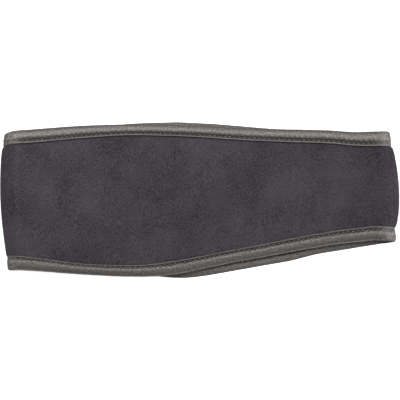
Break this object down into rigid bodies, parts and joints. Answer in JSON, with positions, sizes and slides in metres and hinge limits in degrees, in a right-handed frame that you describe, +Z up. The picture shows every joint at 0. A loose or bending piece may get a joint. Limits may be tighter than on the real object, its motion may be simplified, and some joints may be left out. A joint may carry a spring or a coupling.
{
  "type": "ear warmer headband",
  "caption": "Wide fleece ear warmer headband with elastic binding on both edges, lying flat and folded double; a closed loop worn round the head over the ears.",
  "frame": {"origin": "on the surface that the headband lies on, under the middle of its bounding box", "axes": "+X from the forehead fold to the nape fold, +Y from the lower edge to the upper edge, +Z up from the surface"},
  "size_m": [0.2496, 0.0974, 0.0187],
  "materials": {
    "fleece": "matt brushed polyester fleece, charcoal",
    "binding": "satin knitted elastic tape, warm grey"
  },
  "bodies": {
    "root": {"fleece_band": "fleece", "upper_binding": "binding", "lower_binding": "binding"}
  },
  "joints": []
}
